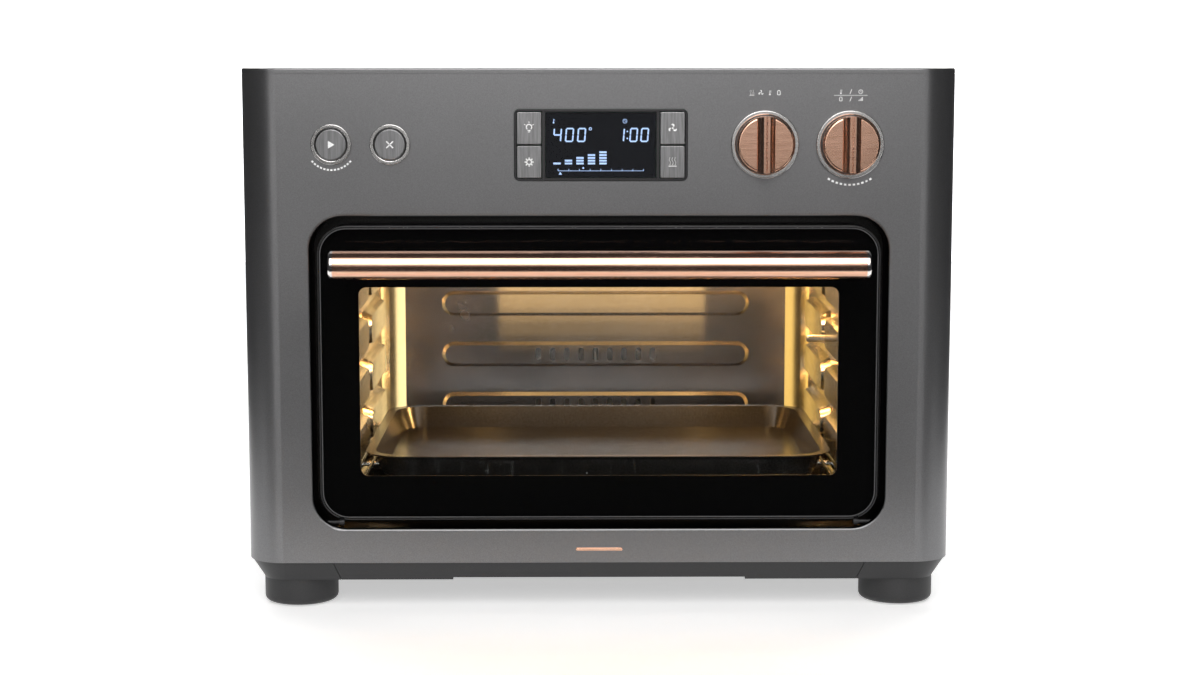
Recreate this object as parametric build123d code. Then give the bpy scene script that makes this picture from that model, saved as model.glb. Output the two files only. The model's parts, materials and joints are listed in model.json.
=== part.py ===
"""Countertop convection oven with a drop-down glass door, built as separate pieces.

Millimetres. +X is to the right seen from the front, +Y towards the back, +Z up.
The origin is the middle of the overall box, on the surface that the oven stands on.
Places along Y are given as a depth behind the front face of the fascia.
"""
from build123d import *
import os

# ---- overall sizes ----
BODY_W = 452.0
BODY_H = 346.0
BODY_D = 370.0            # fascia face to back panel
HANDLE_OUT = 46.0         # front of the handle bar to the fascia face
SPACER_OUT = 8.0          # rear spacers behind the back panel
FRONT_Y = -(HANDLE_OUT + BODY_D + SPACER_OUT) / 2 + HANDLE_OUT
HALF_W = BODY_W / 2
CORNER_R = 24.0           # upright front corners
REAR_R = 5.0
SHEET = 1.2               # casing and cavity sheet
GAP = 0.3                 # seam between neighbouring covers
TINY = 0.2

# ---- casing ----
FASCIA_T = 2.5
FASCIA_WRAP = 38.0
FASCIA_BASE = 31.6
LIP = 3.2
LIP_BASE = BODY_H - LIP
SEAM_IN = 0.4             # the seam under the top cover is a groove this deep
SEAM_FIT = 0.03           # clearance at the bottom of that groove
COVER_EDGE_R = 1.1
COVER_FLANGE_Z = 337.5    # lower edge of the top cover's locating flange
SIDE_TOP = LIP_BASE - GAP
PLINTH_TOP = FASCIA_BASE - GAP
PLINTH_BASE = 18.6
PLINTH_INSET = 9.0
PLINTH_WALL = 2.0

# ---- door and its opening ----
OPEN_X = 182.2
OPEN_LOW = 54.1
OPEN_HIGH = 253.2
OPEN_R = 21.0
JAMB_T = 1.6
DOOR_X = 178.2
DOOR_LOW = 58.9
DOOR_HIGH = 247.6
DOOR_R = 18.5
DOOR_NEAR = 2.6
DOOR_FAR = 18.0
SKIRT_T = 1.0
GLASS_T = 3.2
WINDOW_X = 153.4
WINDOW_LOW = 85.0
WINDOW_HIGH = 207.1
WINDOW_R = 5.0
HINGE_DEPTH = 4.5         # the pins lie in the gap under the door's rounded corners
HINGE_Z = 57.3
HINGE_PIN_R = 1.5
HINGE_EYE_R = 2.4
SPRING_WIRE_R = 0.4
SPRING_R = 2.0            # middle of the coil's wire
SPRING_X = 187.6
SPRING_L = 9.6
RUNNING = 0.05            # radial running clearance
ARM_X = (163.2, 166.0)
ARM_LOW = 61.4            # the arm's flat part starts above the skirt
ARM_NECK_FAR = 10.5

# ---- handle ----
HANDLE_R = 8.75
HANDLE_Z = 226.2
HANDLE_HALF = 166.0
HANDLE_CAP = 2.6
HANDLE_DEPTH = HANDLE_R - HANDLE_OUT
POST_X = 158.0
POST_R = 5.5
DOOR_SCREW_R = 2.0

# ---- controls ----
CONTROL_Z = 298.5
KNOB_X = (103.8, 157.2)
KNOB_R = 17.9
KNOB_FACE = -9.5          # depth of the flat face
KNOB_TOP = -16.0          # depth of the grip's crest
KNOB_BACK = -1.6
GRIP_COVE_R = 8.0
GRIP_GROOVE_R = 0.5       # round groove between the grip's two ridges
KNOB_RING_R = (18.4, 21.35)
SHAFT_R = 3.0
SHAFT_TIP = -8.0
PUSH = 1.0                # travel of the temperature dial
BUTTON_X = (-167.7, -130.9)
BUTTON_R = 9.8
BUTTON_RING_R = (10.2, 12.8)
STEM_END = 8.6
DISPLAY_X = 1.0
DISPLAY_W = 108.6
DISPLAY_H = 44.9
DISPLAY_R = 3.5
LCD_W = 69.8
LCD_H = 41.1
KEY_W = 15.6
KEY_H = 20.2
KEY_GAP = 0.3
KEY_OFFSET_X = DISPLAY_W / 2 - 1.6 - KEY_W / 2
KEY_OFFSET_Z = KEY_H / 2 + 0.45
BOARD_DEPTH = 14.0
BOARD_T = 1.6
SWITCH_DEPTH = 10.4

# ---- cavity ----
CAVITY_X = 167.0
CAVITY_NEAR = 26.2
CAVITY_FAR = 318.0
CAVITY_LOW = 34.0
CAVITY_ROOF = 250.0
FRAME_NEAR = 25.0
MOUTH_LOW = 56.0
MOUTH_HIGH = 238.0
PAD_RISE = 7.0            # stamped pads stand this far into the cavity
PAD_COLUMNS = ((36.0, 157.0), (169.0, 290.0))
PAD_R = 12.0
PAD_ROWS = 5
RACK_Z = 74.75            # centre of the rack's side wires in the lowest groove
RACK_PITCH = 34.0
GROOVE_DROP = 2.55        # groove floor below the wire's centre
GROOVE_H = 8.0
COVER_FACE = 300.0        # fan cover's flat face
COVER_X = 146.0
COVER_FLARE = 14.0
COVER_Z = (64.0, 232.0)
FAN_Z = 147.0
STADIUM_HALF = 118.0
STADIUM_R = 9.6
STADIUM_RISE = 2.5
STADIUM_BEVEL = 2.6
STADIUM_PITCH = 39.2
HEATER_R = 4.0
UPPER_HEATERS = (70.0, 160.0, 250.0)
LOWER_HEATERS = (100.0, 225.0)
UPPER_Z = 238.0
LOWER_Z = 57.5
INSULATOR_R = 6.0
LAMP_DEPTH = 200.0
LAMP_Z = 228.0
PROBE_DEPTH = 163.0
PROBE_Z = 156.0

# ---- rack, pan and crumb tray ----
RACK_X = 164.0
RACK_WIRE_R = 2.25
RACK_BAR_R = 1.4
RACK_NEAR = 40.0
RACK_FAR = 286.0
PAN_X = 155.0
PAN_NEAR = 42.0
PAN_FAR = 265.0
PAN_RIM_Z = 93.0
PAN_T = 1.0
TRAY_TOP_X = 170.5
TRAY_LOW_X = 165.5
TRAY_X = 162.0
TRAY_FAR = 306.0
TRAY_FLOOR = 23.0
TRAY_SLOT = 0.4
NOTCH_X = 94.0

# ---- feet and back ----
FOOT_R = 23.85
FOOT_X = 194.7
FOOT_DEPTHS = (34.0, BODY_D - 34.0)
FOOT_TOP = 26.0
PAD_Z = 2.4
INLET = (-186.0, 58.0)
SCREW_R = 1.6


def block(x, depth, z):
    """Box between (low, high) pairs; depth is measured from the fascia's front face."""
    size = (x[1] - x[0], depth[1] - depth[0], z[1] - z[0])
    centre = ((x[0] + x[1]) / 2, FRONT_Y + (depth[0] + depth[1]) / 2, (z[0] + z[1]) / 2)
    return Pos(*centre) * Box(*size)


def panel(outline, near, far):
    """Solid from an X-Z outline between two depths."""
    return extrude(Plane.XZ.offset(-(FRONT_Y + far)) * outline, far - near)


def frame_outline(half_x, low, high, radius, x=0.0):
    return Pos(x, (low + high) / 2) * RectangleRounded(2 * half_x, high - low, radius)


def post(x, z, radius, near, far):
    """Round bar along Y."""
    return panel(Pos(x, z) * Circle(radius), near, far)


def ring(x, z, inner, outer, near, far):
    return panel(Pos(x, z) * (Circle(outer) - Circle(inner)), near, far)


def cross_rod(radius, x, depth, z):
    """Round bar along X between a (low, high) pair."""
    bar = Cylinder(radius, x[1] - x[0], rotation=(0, 90, 0))
    return Pos((x[0] + x[1]) / 2, FRONT_Y + depth, z) * bar


def plan(inset, far, z):
    """Body outline seen from above, inset from the outside, at a height."""
    near = inset
    half = HALF_W - inset
    sketch = Pos(0, FRONT_Y + (near + far) / 2) * Rectangle(2 * half, far - near)
    sketch = fillet(sketch.vertices().group_by(Axis.Y)[0], CORNER_R - inset)
    return Pos(0, 0, z) * sketch


def on_face(edges, depth):
    """The edges that lie at one depth."""
    y = FRONT_Y + depth
    return edges.filter_by_position(Axis.Y, y - 0.01, y + 0.01)


def save(node, *solids):
    shape = solids[0] if len(solids) == 1 else Compound(children=list(solids))
    export_step(shape, f"parts/{node}.step")


# ---- casing ----
def display_outline(grow):
    width = DISPLAY_W + 2 * grow
    height = DISPLAY_H + 2 * grow
    return Pos(DISPLAY_X, CONTROL_Z - 0.35) * RectangleRounded(width, height, DISPLAY_R + grow)


def front_fascia():
    height = SIDE_TOP - FASCIA_BASE
    shell = extrude(plan(0, FASCIA_WRAP, FASCIA_BASE), height)
    shell -= extrude(plan(FASCIA_T, FASCIA_WRAP + 1, FASCIA_BASE - 1), height + 2)
    door_hole = frame_outline(OPEN_X, OPEN_LOW, OPEN_HIGH, OPEN_R)
    grown = frame_outline(OPEN_X + JAMB_T, OPEN_LOW - JAMB_T, OPEN_HIGH + JAMB_T, OPEN_R + JAMB_T)
    shell += panel(grown, 1.0, FRAME_NEAR)
    shell -= panel(door_hole, -1, FRAME_NEAR + 1)
    rim = on_face(shell.edges(), 0).filter_by_position(Axis.Z, OPEN_LOW - 0.1, OPEN_HIGH + 0.1)
    shell = fillet(rim.filter_by_position(Axis.X, -OPEN_X - 0.1, OPEN_X + 0.1), 2.0)
    for x in BUTTON_X:
        shell -= post(x, CONTROL_Z, BUTTON_RING_R[0], -1, FASCIA_T + 1)
    for x in KNOB_X:
        shell -= post(x, CONTROL_Z, SHAFT_R + 1, -1, FASCIA_T + 1)
    shell -= panel(display_outline(0.2), -1, FASCIA_T + 1)
    for x in (-1, 1):
        pin_hole = sorted((x * (DOOR_X - 15), x * (DOOR_X + 8)))
        shell -= cross_rod(HINGE_PIN_R + 0.1, pin_hole, HINGE_DEPTH, HINGE_Z)
        relief = sorted((x * (SPRING_X - 0.6), x * (SPRING_X + SPRING_L + 2)))
        shell -= cross_rod(SPRING_R + 0.8, relief, HINGE_DEPTH, HINGE_Z)
        for z in (CONTROL_Z - 32, CONTROL_Z + 32):
            shell += post(x * 90, z, 3.0, FASCIA_T - 0.5, BOARD_DEPTH)
    return shell


def cover_slab(inset, low):
    """Plate of the cover's outline, with its rear corners rounded too."""
    slab = extrude(plan(inset, BODY_D - inset, low), LIP)
    return fillet(slab.edges().filter_by(Axis.Z).group_by(Axis.Y)[-1], REAR_R - inset)


def top_cover():
    cover = cover_slab(0, LIP_BASE)
    cover = fillet(cover.faces().sort_by(Axis.Z)[-1].edges(), COVER_EDGE_R)
    cover += cover_slab(SEAM_IN, SIDE_TOP + SEAM_FIT)
    cover -= extrude(plan(FASCIA_T, BODY_D - FASCIA_T, LIP_BASE - 1), LIP - SHEET + 1)
    outer = FASCIA_T + 2 * TINY
    inner = outer + SHEET
    height = BODY_H - TINY - COVER_FLANGE_Z
    flange = extrude(plan(outer, BODY_D - outer, COVER_FLANGE_Z), height)
    inside = extrude(plan(inner, BODY_D - inner, COVER_FLANGE_Z - 1), height - SHEET + TINY + 1)
    return cover + (flange - inside)


def side_panel(side):
    inner = side * (HALF_W - SHEET)
    outer = side * HALF_W
    sheet = block(sorted((inner, outer)), (FASCIA_WRAP + TINY, BODY_D - SHEET - TINY),
                  (FASCIA_BASE, SIDE_TOP))
    flange = sorted((side * (HALF_W - 14), inner))
    sheet += block(flange, (BODY_D - 2 * SHEET - TINY, BODY_D - SHEET - TINY), (FASCIA_BASE, SIDE_TOP))
    slot = Plane.YZ * SlotOverall(34, 3.2)
    for column in (265, 310):
        for row in range(9):
            centre = Pos(side * HALF_W - 5, FRONT_Y + column, 238 + 9 * row)
            sheet -= centre * extrude(slot, 10)
    for x, z in back_screw_places():
        sheet -= post(x, z, SCREW_R, BODY_D - 10, BODY_D)
    return sheet


def back_screw_places():
    return [(side * x, z) for side in (-1, 1) for x, z in ((218, 52), (218, 190), (218, 328), (80, 330))]


def back_panel():
    sheet = panel(frame_outline(HALF_W - 0.6, FASCIA_BASE, SIDE_TOP, REAR_R - 1), BODY_D - SHEET, BODY_D)
    slot = SlotOverall(46, 3.4)
    for side in (-1, 1):
        for row in range(8):
            sheet -= panel(Pos(side * 95, 240 + 9 * row) * slot, BODY_D - 5, BODY_D + 1)
    for count, radius in ((6, 10), (12, 20), (18, 30)):
        holes = [Pos(0, FAN_Z) * place * Circle(2.4) for place in PolarLocations(radius, count)]
        sheet -= panel(Sketch() + holes, BODY_D - 5, BODY_D + 1)
    for x, z in back_screw_places():
        sheet -= post(x, z, SCREW_R + 0.1, BODY_D - 5, BODY_D + 1)
    return sheet - post(*INLET, 7.0, BODY_D - 5, BODY_D + 1)


def plinth(inset):
    """Chamfered block between the fascia's lower edge and the feet."""
    depth = FRONT_Y + BODY_D / 2
    sections = []
    for z, step in ((PLINTH_BASE, PLINTH_INSET), (PLINTH_TOP, 1.0)):
        step += inset
        outline = RectangleRounded(BODY_W - 2 * step, BODY_D - 2 * step, CORNER_R - step)
        sections.append(Pos(0, depth, z) * outline)
    return loft(sections, ruled=True)


def tray_front_outline(grow):
    points = [(TRAY_LOW_X, PLINTH_BASE - 1), (TRAY_TOP_X, PLINTH_TOP + 1)]
    right = [(x + grow, z) for x, z in points]
    left = [(-x - grow, z) for x, z in reversed(points)]
    return Polygon(*right, *left, align=None)


def foot_column(radius, z, depth, side):
    height = z[1] - z[0]
    return Pos(side * FOOT_X, FRONT_Y + depth, (z[0] + z[1]) / 2) * Cylinder(radius, height)


def each_foot():
    return [(side, depth) for side in (-1, 1) for depth in FOOT_DEPTHS]


def base_pan():
    body = plinth(0)
    core = plinth(PLINTH_WALL)
    body -= core - block((-HALF_W, HALF_W), (0, BODY_D), (0, PLINTH_BASE + PLINTH_WALL))
    for x in (-TRAY_X + 8, TRAY_X - 8):
        body += block((x - 2, x + 2), (30, 320), (PLINTH_BASE + 1, TRAY_FLOOR - GAP))
    body -= panel(tray_front_outline(TRAY_SLOT), -1, 16)
    body -= block((-NOTCH_X, NOTCH_X), (0, 40), (PLINTH_BASE - 1, PLINTH_TOP + 1))
    for side, depth in each_foot():
        body -= foot_column(FOOT_R, (0, FOOT_TOP), depth, side)
    for row in range(6):
        slot = Pos(0, FRONT_Y + 110 + 22 * row, PLINTH_BASE - 1) * SlotOverall(150, 5)
        body -= extrude(slot, PLINTH_WALL + 3)
    return body


def foot(side, depth):
    body = foot_column(FOOT_R, (1.0, FOOT_TOP), depth, side)
    body = fillet(body.faces().sort_by(Axis.Z)[0].edges(), 3.5)
    return body - foot_column(17.2, (0, PAD_Z), depth, side)


def foot_pad(side, depth):
    pad = foot_column(17.0, (0, PAD_Z), depth, side)
    return fillet(pad.faces().sort_by(Axis.Z)[0].edges(), 0.6)


def rear_spacer(side):
    body = post(side * 150, 318, 12.0, BODY_D, BODY_D + SPACER_OUT)
    return fillet(body.faces().sort_by(Axis.Y)[-1].edges(), 2.0)


def cord_bushing():
    """Cable outlet, with its bore left empty."""
    flange = post(*INLET, 10.5, BODY_D, BODY_D + 2.4)
    flange = fillet(flange.faces().sort_by(Axis.Y)[-1].edges(), 1.0)
    flange += post(*INLET, 7.0, BODY_D - 6, BODY_D)
    return flange - post(*INLET, 4.0, BODY_D - 8, BODY_D + 4)


def screw(x, z, face, length, radius, head):
    """Pan-head screw along Y with its head behind a face."""
    top = post(x, z, head, face, face + 1.8)
    top = fillet(top.faces().sort_by(Axis.Y)[-1].edges(), 1.0)
    for slot in (Rectangle(head * 1.1, 0.8), Rectangle(0.8, head * 1.1)):
        top -= panel(Pos(x, z) * slot, face + 1.0, face + 3)
    return top + post(x, z, radius, face - length, face)


def badge_bar():
    bar = panel(frame_outline(15.0, 39.4, 41.4, 0.9), -0.7, 0)
    return fillet(on_face(bar.edges(), -0.7), 0.3)


# ---- cavity ----
def groove_floor(level):
    return RACK_Z - GROOVE_DROP + RACK_PITCH * level


def pad(side, near, far, low, high, shrink, reach):
    """One stamped pad, tapering from the wall towards the cavity."""
    sections = []
    for rise, inset in ((0.0, 0.0), (reach, 3.0)):
        size = (far - near - 2 * (inset + shrink), high - low - 2 * (inset + shrink))
        outline = RectangleRounded(*size, PAD_R - inset - shrink)
        middle = (side * (CAVITY_X - rise), FRONT_Y + (near + far) / 2, (low + high) / 2)
        sections.append(Plane(origin=middle, x_dir=(0, 1, 0), z_dir=(side, 0, 0)) * outline)
    return loft(sections, ruled=True)


def cavity_wall(side):
    x = sorted((side * CAVITY_X, side * (CAVITY_X + SHEET)))
    wall = block(x, (CAVITY_NEAR, CAVITY_FAR), (CAVITY_LOW, CAVITY_ROOF))
    through = sorted((side * (CAVITY_X - PAD_RISE - 2), side * (CAVITY_X + 4)))
    for near, far in PAD_COLUMNS:
        for level in range(PAD_ROWS):
            high = groove_floor(level)
            low = high - RACK_PITCH + GROOVE_H
            wall += pad(side, near, far, low, high, 0.0, PAD_RISE)
            wall -= pad(side, near, far, low, high, SHEET, PAD_RISE - SHEET)
            opening = block(x, (near + 6, far - 6), (low + 6, high - 6))
            wall -= opening
    for depth in UPPER_HEATERS:
        wall -= cross_rod(INSULATOR_R, through, depth, UPPER_Z)
    for depth in LOWER_HEATERS:
        wall -= cross_rod(INSULATOR_R, through, depth, LOWER_Z)
    if side > 0:
        wall -= cross_rod(13.0, through, LAMP_DEPTH, LAMP_Z)
        wall -= cross_rod(2.5, through, PROBE_DEPTH, PROBE_Z)
    return wall


def cavity_roof():
    return block((-CAVITY_X - SHEET, CAVITY_X + SHEET), (CAVITY_NEAR, CAVITY_FAR),
                 (CAVITY_ROOF, CAVITY_ROOF + SHEET))


def cavity_back_wall():
    wall = block((-CAVITY_X - SHEET, CAVITY_X + SHEET), (CAVITY_FAR, CAVITY_FAR + SHEET),
                 (CAVITY_LOW, CAVITY_ROOF + SHEET))
    return wall - post(0, FAN_Z, 6.0, CAVITY_FAR - 1, CAVITY_FAR + 3)


def cavity_front_frame():
    """Flange that joins the cavity to the fascia's jamb."""
    outer = frame_outline(196.0, 42.0, 262.0, 8.0)
    mouth = frame_outline(CAVITY_X, MOUTH_LOW, MOUTH_HIGH, 6.0)
    return panel(outer - mouth, FRAME_NEAR, CAVITY_NEAR)


def stadium(row, radius):
    z = FAN_Z + (row - 1.5) * STADIUM_PITCH
    return Pos(0, z) * SlotOverall(2 * STADIUM_HALF - 2 * (STADIUM_R - radius), 2 * radius)


def flared_box(inset):
    """Fan cover's outer or inner form, widening towards the back wall."""
    sections = []
    for depth, grow in ((COVER_FACE + inset, -inset), (CAVITY_FAR, COVER_FLARE - inset)):
        outline = frame_outline(COVER_X + grow, COVER_Z[0] - grow, COVER_Z[1] + grow, 5.0 + inset)
        sections.append(Plane.XZ.offset(-(FRONT_Y + depth)) * outline)
    return loft(sections, ruled=True)


def fan_cover():
    cover = flared_box(0) - flared_box(SHEET)
    for row in range(4):
        low = Plane.XZ.offset(-(FRONT_Y + COVER_FACE)) * stadium(row, STADIUM_R)
        high = Plane.XZ.offset(-(FRONT_Y + COVER_FACE - STADIUM_RISE)) * stadium(row, STADIUM_R - STADIUM_BEVEL)
        cover += loft([low, high], ruled=True)
    vents = [(11.0 * step, row) for row in (0, 1) for step in range(-4, 5)]
    for x, row in vents:
        z = FAN_Z + (row - 1.5) * STADIUM_PITCH
        cover -= panel(Pos(x, z) * SlotOverall(10, 4, rotation=90), COVER_FACE - 5, COVER_FACE + 5)
    return cover


def fan_impeller():
    disc = post(0, FAN_Z, 55, 312, 313.2)
    disc += post(0, FAN_Z, 9, 304, 313)
    for blade in range(12):
        plate = block((16, 54), (305, 312.5), (-0.6, 0.6))
        disc += Pos(0, 0, FAN_Z) * (Rot(0, 30 * blade, 0) * plate)
    return disc - post(0, FAN_Z, SHAFT_R, 300, 320)


def fan_motor():
    stator = post(0, FAN_Z, 29, 326, 350)
    stator = fillet(stator.edges(), 2.0)
    bracket = block((-44, 44), (324.5, 326.5), (FAN_Z - 14, FAN_Z + 14))
    bracket += post(-38, FAN_Z, 3.0, CAVITY_FAR + SHEET, 326)
    bracket += post(38, FAN_Z, 3.0, CAVITY_FAR + SHEET, 326)
    return stator + bracket - post(0, FAN_Z, SHAFT_R + RUNNING, 320, 352)


def heater_places():
    return [(depth, UPPER_Z) for depth in UPPER_HEATERS] + [(depth, LOWER_Z) for depth in LOWER_HEATERS]


def heating_rods():
    return [cross_rod(HEATER_R, (-172, 172), depth, z) for depth, z in heater_places()]


def heater_insulators():
    pieces = []
    for depth, z in heater_places():
        for side in (-1, 1):
            x = sorted((side * 157.5, side * 174))
            pieces.append(cross_rod(INSULATOR_R, x, depth, z) - cross_rod(HEATER_R, x, depth, z))
    return pieces


def oven_lamp():
    bulb = cross_rod(5.5, (158.5, 170), LAMP_DEPTH, LAMP_Z)
    bulb = fillet(bulb.faces().sort_by(Axis.X)[0].edges(), 4.0)
    return bulb + cross_rod(9.0, (170, 179), LAMP_DEPTH, LAMP_Z)


def lamp_lens():
    lens = cross_rod(17.0, (155.5, CAVITY_X), LAMP_DEPTH, LAMP_Z)
    lens = fillet(lens.faces().sort_by(Axis.X)[0].edges(), 5.0)
    return lens - cross_rod(13.0, (158, CAVITY_X + 1), LAMP_DEPTH, LAMP_Z)


def temperature_probe():
    rod = cross_rod(2.5, (148, 174), PROBE_DEPTH, PROBE_Z)
    return fillet(rod.faces().sort_by(Axis.X)[0].edges(), 1.5)


def insulation_blankets():
    depths = (32.0, 312.0)
    left = block((-197, -182), depths, (44, 244))
    right = block((182, 197), depths, (44, 244))
    top = block((-40, 160), depths, (CAVITY_ROOF + SHEET, CAVITY_ROOF + 14))
    return left, right, top


def power_board():
    board = block((-172, -60), (90, 230), (272, 273.6))
    for x in (-164, -68):
        for depth in (98, 222):
            board += Pos(x, FRONT_Y + depth, 262) * Cylinder(3, 21.6)
    for x, depth, size, height in ((-150, 120, 26, 20), (-110, 120, 20, 16), (-90, 190, 34, 26),
                                   (-140, 190, 24, 12)):
        board += block((x - size / 2, x + size / 2), (depth - size / 2, depth + size / 2),
                       (273.6, 273.6 + height))
    return board


# ---- door ----
def door_outline(inset):
    return frame_outline(DOOR_X - inset, DOOR_LOW + inset, DOOR_HIGH - inset, DOOR_R - inset)


def window_outline(grow=0.0):
    return frame_outline(WINDOW_X + grow, WINDOW_LOW - grow, WINDOW_HIGH + grow, WINDOW_R + grow)


def door_screw_places():
    return [(side * POST_X, HANDLE_Z) for side in (-1, 1)]


def door_frame():
    body = panel(door_outline(0), DOOR_NEAR, DOOR_FAR)
    body = fillet(on_face(body.edges(), DOOR_FAR), 2.0)
    body = fillet(on_face(body.edges(), DOOR_NEAR), 0.8)
    body -= panel(door_outline(SKIRT_T), DOOR_NEAR - 1, DOOR_FAR - SHEET)
    body -= panel(window_outline(), 0, DOOR_FAR + 1)
    for x, z in door_screw_places():
        body -= post(x, z, DOOR_SCREW_R + 0.1, 10, DOOR_FAR + 1)
    for side in (-1, 1):
        body -= block(arm_x(side, GAP), (DOOR_NEAR - 1, ARM_NECK_FAR + GAP), (DOOR_LOW - 1, ARM_LOW))
    return body


def door_outer_glass():
    near = DOOR_NEAR + TINY
    pane = panel(door_outline(SKIRT_T + TINY), near, near + GLASS_T)
    pane = fillet(on_face(pane.edges(), near), 0.5)
    for x, z in door_screw_places():
        pane -= post(x, z, DOOR_SCREW_R + 0.4, 0, 10)
    return pane


def door_inner_glass():
    far = DOOR_FAR - SHEET - TINY
    return panel(window_outline(6.5), far - GLASS_T, far)


def arm_x(side, grow=0.0):
    return sorted((side * (ARM_X[0] - grow), side * (ARM_X[1] + grow)))


def hinge_arm(side):
    """Flat arm inside the door, with a neck through the skirt to an eye on the pin."""
    x = arm_x(side)
    near = DOOR_NEAR + GLASS_T + 0.6
    arm = block(x, (near, DOOR_FAR - SHEET), (ARM_LOW, HINGE_Z + 49))
    neck = Polyline((4.2, 59.5), (near, 60.2), (near, ARM_LOW + 1), (ARM_NECK_FAR, ARM_LOW + 1),
                    (ARM_NECK_FAR, 60.4), (5.4, 55.2), close=True)
    neck_plane = Plane(origin=(x[0], FRONT_Y, 0), x_dir=(0, 1, 0), z_dir=(1, 0, 0))
    arm += extrude(neck_plane * make_face(neck), x[1] - x[0])
    arm += cross_rod(HINGE_EYE_R, x, HINGE_DEPTH, HINGE_Z)
    return arm - cross_rod(HINGE_PIN_R + RUNNING, (x[0] - 1, x[1] + 1), HINGE_DEPTH, HINGE_Z)


def hinge_pin(side):
    x = sorted((side * (ARM_X[0] - 0.3), side * 199))
    return cross_rod(HINGE_PIN_R, x, HINGE_DEPTH, HINGE_Z)


def hinge_bracket(side):
    x = sorted((side * (OPEN_X + JAMB_T), side * (OPEN_X + JAMB_T + 3)))
    plate = block(x, (FASCIA_T, FRAME_NEAR), (HINGE_Z - 12, HINGE_Z + 16))
    return plate - cross_rod(HINGE_PIN_R, (x[0] - 1, x[1] + 1), HINGE_DEPTH, HINGE_Z)


def hinge_spring(side):
    """Counterbalance coil wound round the pin, behind the bracket."""
    path = Helix(pitch=1.2, height=SPRING_L, radius=SPRING_R)
    wire = sweep(Plane(path @ 0, z_dir=path % 0) * Circle(SPRING_WIRE_R), path)
    turned = Rot(0, 90, 0) * wire
    placed = Pos(SPRING_X, FRONT_Y + HINGE_DEPTH, HINGE_Z) * turned
    return placed if side > 0 else mirror(placed, Plane.YZ)


def door_gasket():
    outer = frame_outline(175.2, 66.0, 245.6, 12.0)
    inner = frame_outline(169.2, 60.0, 239.6, 7.0)
    below = Pos(0, 66) * Rectangle(400, 12)
    seal = panel(outer - inner - below, DOOR_FAR + GAP, FRAME_NEAR)
    return seal


def handle_bar():
    bar = cross_rod(HANDLE_R, (-HANDLE_HALF + HANDLE_CAP, HANDLE_HALF - HANDLE_CAP), HANDLE_DEPTH, HANDLE_Z)
    for x, z in door_screw_places():
        bar -= post(x, z, DOOR_SCREW_R, HANDLE_DEPTH, 0)
    return bar


def handle_end_cap(side):
    x = sorted((side * (HANDLE_HALF - HANDLE_CAP), side * HANDLE_HALF))
    cap = cross_rod(HANDLE_R, x, HANDLE_DEPTH, HANDLE_Z)
    end = cap.faces().sort_by(Axis.X)[-1 if side > 0 else 0]
    return chamfer(end.edges(), 1.2)


def handle_post(x, z):
    body = post(x, z, POST_R, HANDLE_DEPTH, DOOR_NEAR + TINY)
    body -= cross_rod(HANDLE_R, (x - 10, x + 10), HANDLE_DEPTH, HANDLE_Z)
    return body - post(x, z, DOOR_SCREW_R, HANDLE_DEPTH, 5)


def handle_screw(x, z):
    return screw(x, z, DOOR_FAR, DOOR_FAR - HANDLE_DEPTH - 2, DOOR_SCREW_R, 4.0)


# ---- controls ----
def knob(x, bore, bore_end):
    """Round dial with a raised vertical grip that sinks into the face through two coves."""
    body = post(x, CONTROL_Z, KNOB_R, KNOB_FACE, KNOB_BACK)
    body = fillet(on_face(body.edges(), KNOB_FACE), 1.6)
    face = FRONT_Y + KNOB_FACE
    crest = FRONT_Y + KNOB_TOP
    reach = 5.8
    half = 2.3
    left = RadiusArc((x - reach, face + 0.2), (x - half, crest + 0.5), -GRIP_COVE_R)
    right = RadiusArc((x + half, crest + 0.5), (x + reach, face + 0.2), -GRIP_COVE_R)
    top = Polyline(left @ 1, (x - half + 0.4, crest), (x + half - 0.4, crest), right @ 0)
    base = Polyline(right @ 1, (x + reach, face + 1.5), (x - reach, face + 1.5), left @ 0)
    profile = make_face(Curve() + [left, top, right, base])
    grip = Pos(0, 0, CONTROL_Z - KNOB_R) * extrude(profile, 2 * KNOB_R, dir=(0, 0, 1))
    grip &= post(x, CONTROL_Z, KNOB_R - 0.4, KNOB_TOP - 1, KNOB_BACK)
    grip -= Pos(x, crest - 0.05, CONTROL_Z) * Cylinder(GRIP_GROOVE_R, 2 * KNOB_R)
    body += grip
    return body - post(x, CONTROL_Z, bore, bore_end, 0)


def dial_shaft(x, end):
    return post(x, CONTROL_Z, SHAFT_R, SHAFT_TIP, end)


def encoder(x):
    body = block((x - 6.5, x + 6.5), (7.5, BOARD_DEPTH), (CONTROL_Z - 6.5, CONTROL_Z + 6.5))
    body += post(x, CONTROL_Z, 4.6, FASCIA_T + TINY, 7.6)
    return body - post(x, CONTROL_Z, SHAFT_R + RUNNING, 0, BOARD_DEPTH - 1)


def tact_switch(x, z):
    body = block((x - 3, x + 3), (SWITCH_DEPTH, BOARD_DEPTH), (z - 3, z + 3))
    return body + post(x, z, 1.7, SWITCH_DEPTH - 0.4, SWITCH_DEPTH + 0.1)


def knob_ring(x):
    trim = ring(x, CONTROL_Z, *KNOB_RING_R, -2.2, 0)
    return fillet(on_face(trim.edges(), -2.2), 0.7)


def button_ring(x):
    trim = ring(x, CONTROL_Z, *BUTTON_RING_R, -1.5, 0)
    return fillet(on_face(trim.edges(), -1.5), 0.6)


def round_button(x):
    cap = post(x, CONTROL_Z, BUTTON_R, -2.2, FASCIA_T + GAP)
    cap = fillet(on_face(cap.edges(), -2.2), 0.8)
    cap += post(x, CONTROL_Z, BUTTON_R + 1.4, FASCIA_T + GAP, FASCIA_T + 1.5)
    return cap + post(x, CONTROL_Z, 3.0, FASCIA_T + 1, STEM_END)


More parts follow.
